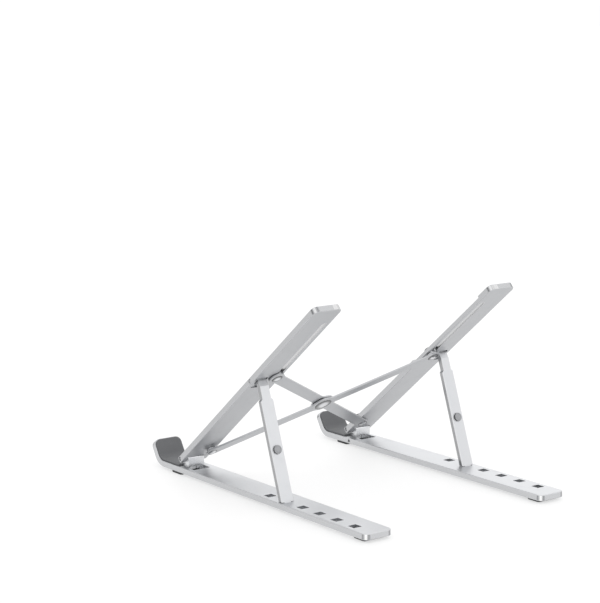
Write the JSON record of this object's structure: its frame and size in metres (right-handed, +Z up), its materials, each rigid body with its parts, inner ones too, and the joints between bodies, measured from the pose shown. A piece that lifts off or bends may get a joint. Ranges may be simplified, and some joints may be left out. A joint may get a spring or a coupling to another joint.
{
  "type": "laptop stand",
  "caption": "Folding aluminium laptop stand: two bent base rails with hinged arms, prop struts and a scissor brace that slides in the arms.",
  "frame": {"origin": "on the surface it stands on, in the middle of the stand's width and length", "axes": "+X to the user's right, +Y from the lip to the rear, +Z up"},
  "size_m": [0.1962, 0.285, 0.1619],
  "materials": {
    "aluminium_satin": "satin anodised, fine bead-blasted grain, bright broken edges",
    "link_aluminium": "satin anodised sheet",
    "rivet_steel": "turned, semi-bright",
    "pin_steel": "ground, semi-bright",
    "silicone_grey": "matte silicone",
    "foot_rubber": "matte rubber",
    "button_rubber": "matte rubber"
  },
  "bodies": {
    "base_right": {"rail_right": "aluminium_satin", "lip_pad_right": "silicone_grey", "front_foot_right": "foot_rubber", "rear_foot_right": "foot_rubber", "hinge_lug_right": "aluminium_satin", "lug_lock_pin_right": "pin_steel", "arm_hinge_pin_right": "pin_steel"},
    "arm_right": {"arm_right": "aluminium_satin", "arm_pad_front_right": "silicone_grey", "arm_pad_rear_right": "silicone_grey", "strut_pin_right": "pin_steel", "brace_front_rivet_right": "rivet_steel", "brace_front_spacer": "rivet_steel"},
    "strut_right": {"strut_right": "aluminium_satin", "strut_button_right": "button_rubber"},
    "link_lower": {"brace_link_lower": "link_aluminium", "brace_hub_rivet": "rivet_steel", "brace_slide_rivet_left": "rivet_steel", "brace_slide_spacer": "rivet_steel"},
    "link_upper": {"brace_link_upper": "link_aluminium", "brace_slide_rivet_right": "rivet_steel"},
    "arm_left": {"arm_left": "aluminium_satin", "arm_pad_front_left": "silicone_grey", "arm_pad_rear_left": "silicone_grey", "strut_pin_left": "pin_steel", "brace_front_rivet_left": "rivet_steel"},
    "strut_left": {"strut_left": "aluminium_satin", "strut_button_left": "button_rubber"},
    "base_left": {"rail_left": "aluminium_satin", "lip_pad_left": "silicone_grey", "front_foot_left": "foot_rubber", "rear_foot_left": "foot_rubber", "hinge_lug_left": "aluminium_satin", "lug_lock_pin_left": "pin_steel", "arm_hinge_pin_left": "pin_steel"}
  },
  "joints": [
    {"name": "arm_tilt", "type": "hinge", "parent": "base_right", "child": "arm_right", "pos_m": [0.08535, -0.0979, 0.0139], "axis": [1, 0, 0], "range_deg": [0, 60]},
    {"name": "strut_fold_right", "type": "hinge", "parent": "arm_right", "child": "strut_right", "pos_m": [0.0906, 0.00141, 0.09434], "axis": [-1, 0, 0], "range_deg": [0, 70.29]},
    {"name": "brace_fold", "type": "hinge", "parent": "arm_right", "child": "link_lower", "pos_m": [0.0778, -0.08148, 0.02032], "axis": [0, 0.6295, -0.777], "range_deg": [0, 49.75]},
    {"name": "brace_cross", "type": "hinge", "parent": "link_lower", "child": "link_upper", "pos_m": [0, -0.03656, 0.05786], "axis": [0, 0.6295, -0.777], "range_deg": [-99.5, 0]},
    {"name": "brace_front_left", "type": "hinge", "parent": "link_upper", "child": "arm_left", "pos_m": [-0.0778, -0.08261, 0.02172], "axis": [0, 0.6295, -0.777], "range_deg": [0, 49.76]},
    {"name": "strut_fold_left", "type": "hinge", "parent": "arm_left", "child": "strut_left", "pos_m": [-0.0906, 0.00141, 0.09434], "axis": [-1, 0, 0], "range_deg": [0, 70.29]},
    {"name": "base_left_tilt", "type": "hinge", "parent": "arm_left", "child": "base_left", "pos_m": [-0.08535, -0.0979, 0.0139], "axis": [-1, 0, 0], "range_deg": [0, 60]}
  ],
  "couplings": [
    {"joint": "strut_fold_right", "follows": "arm_tilt", "ratio": 1.1713},
    {"joint": "strut_fold_left", "follows": "arm_tilt", "ratio": 1.1713},
    {"joint": "base_left_tilt", "follows": "arm_tilt", "ratio": 1},
    {"joint": "brace_cross", "follows": "brace_fold", "ratio": -2},
    {"joint": "brace_front_left", "follows": "brace_fold", "ratio": 1}
  ]
}
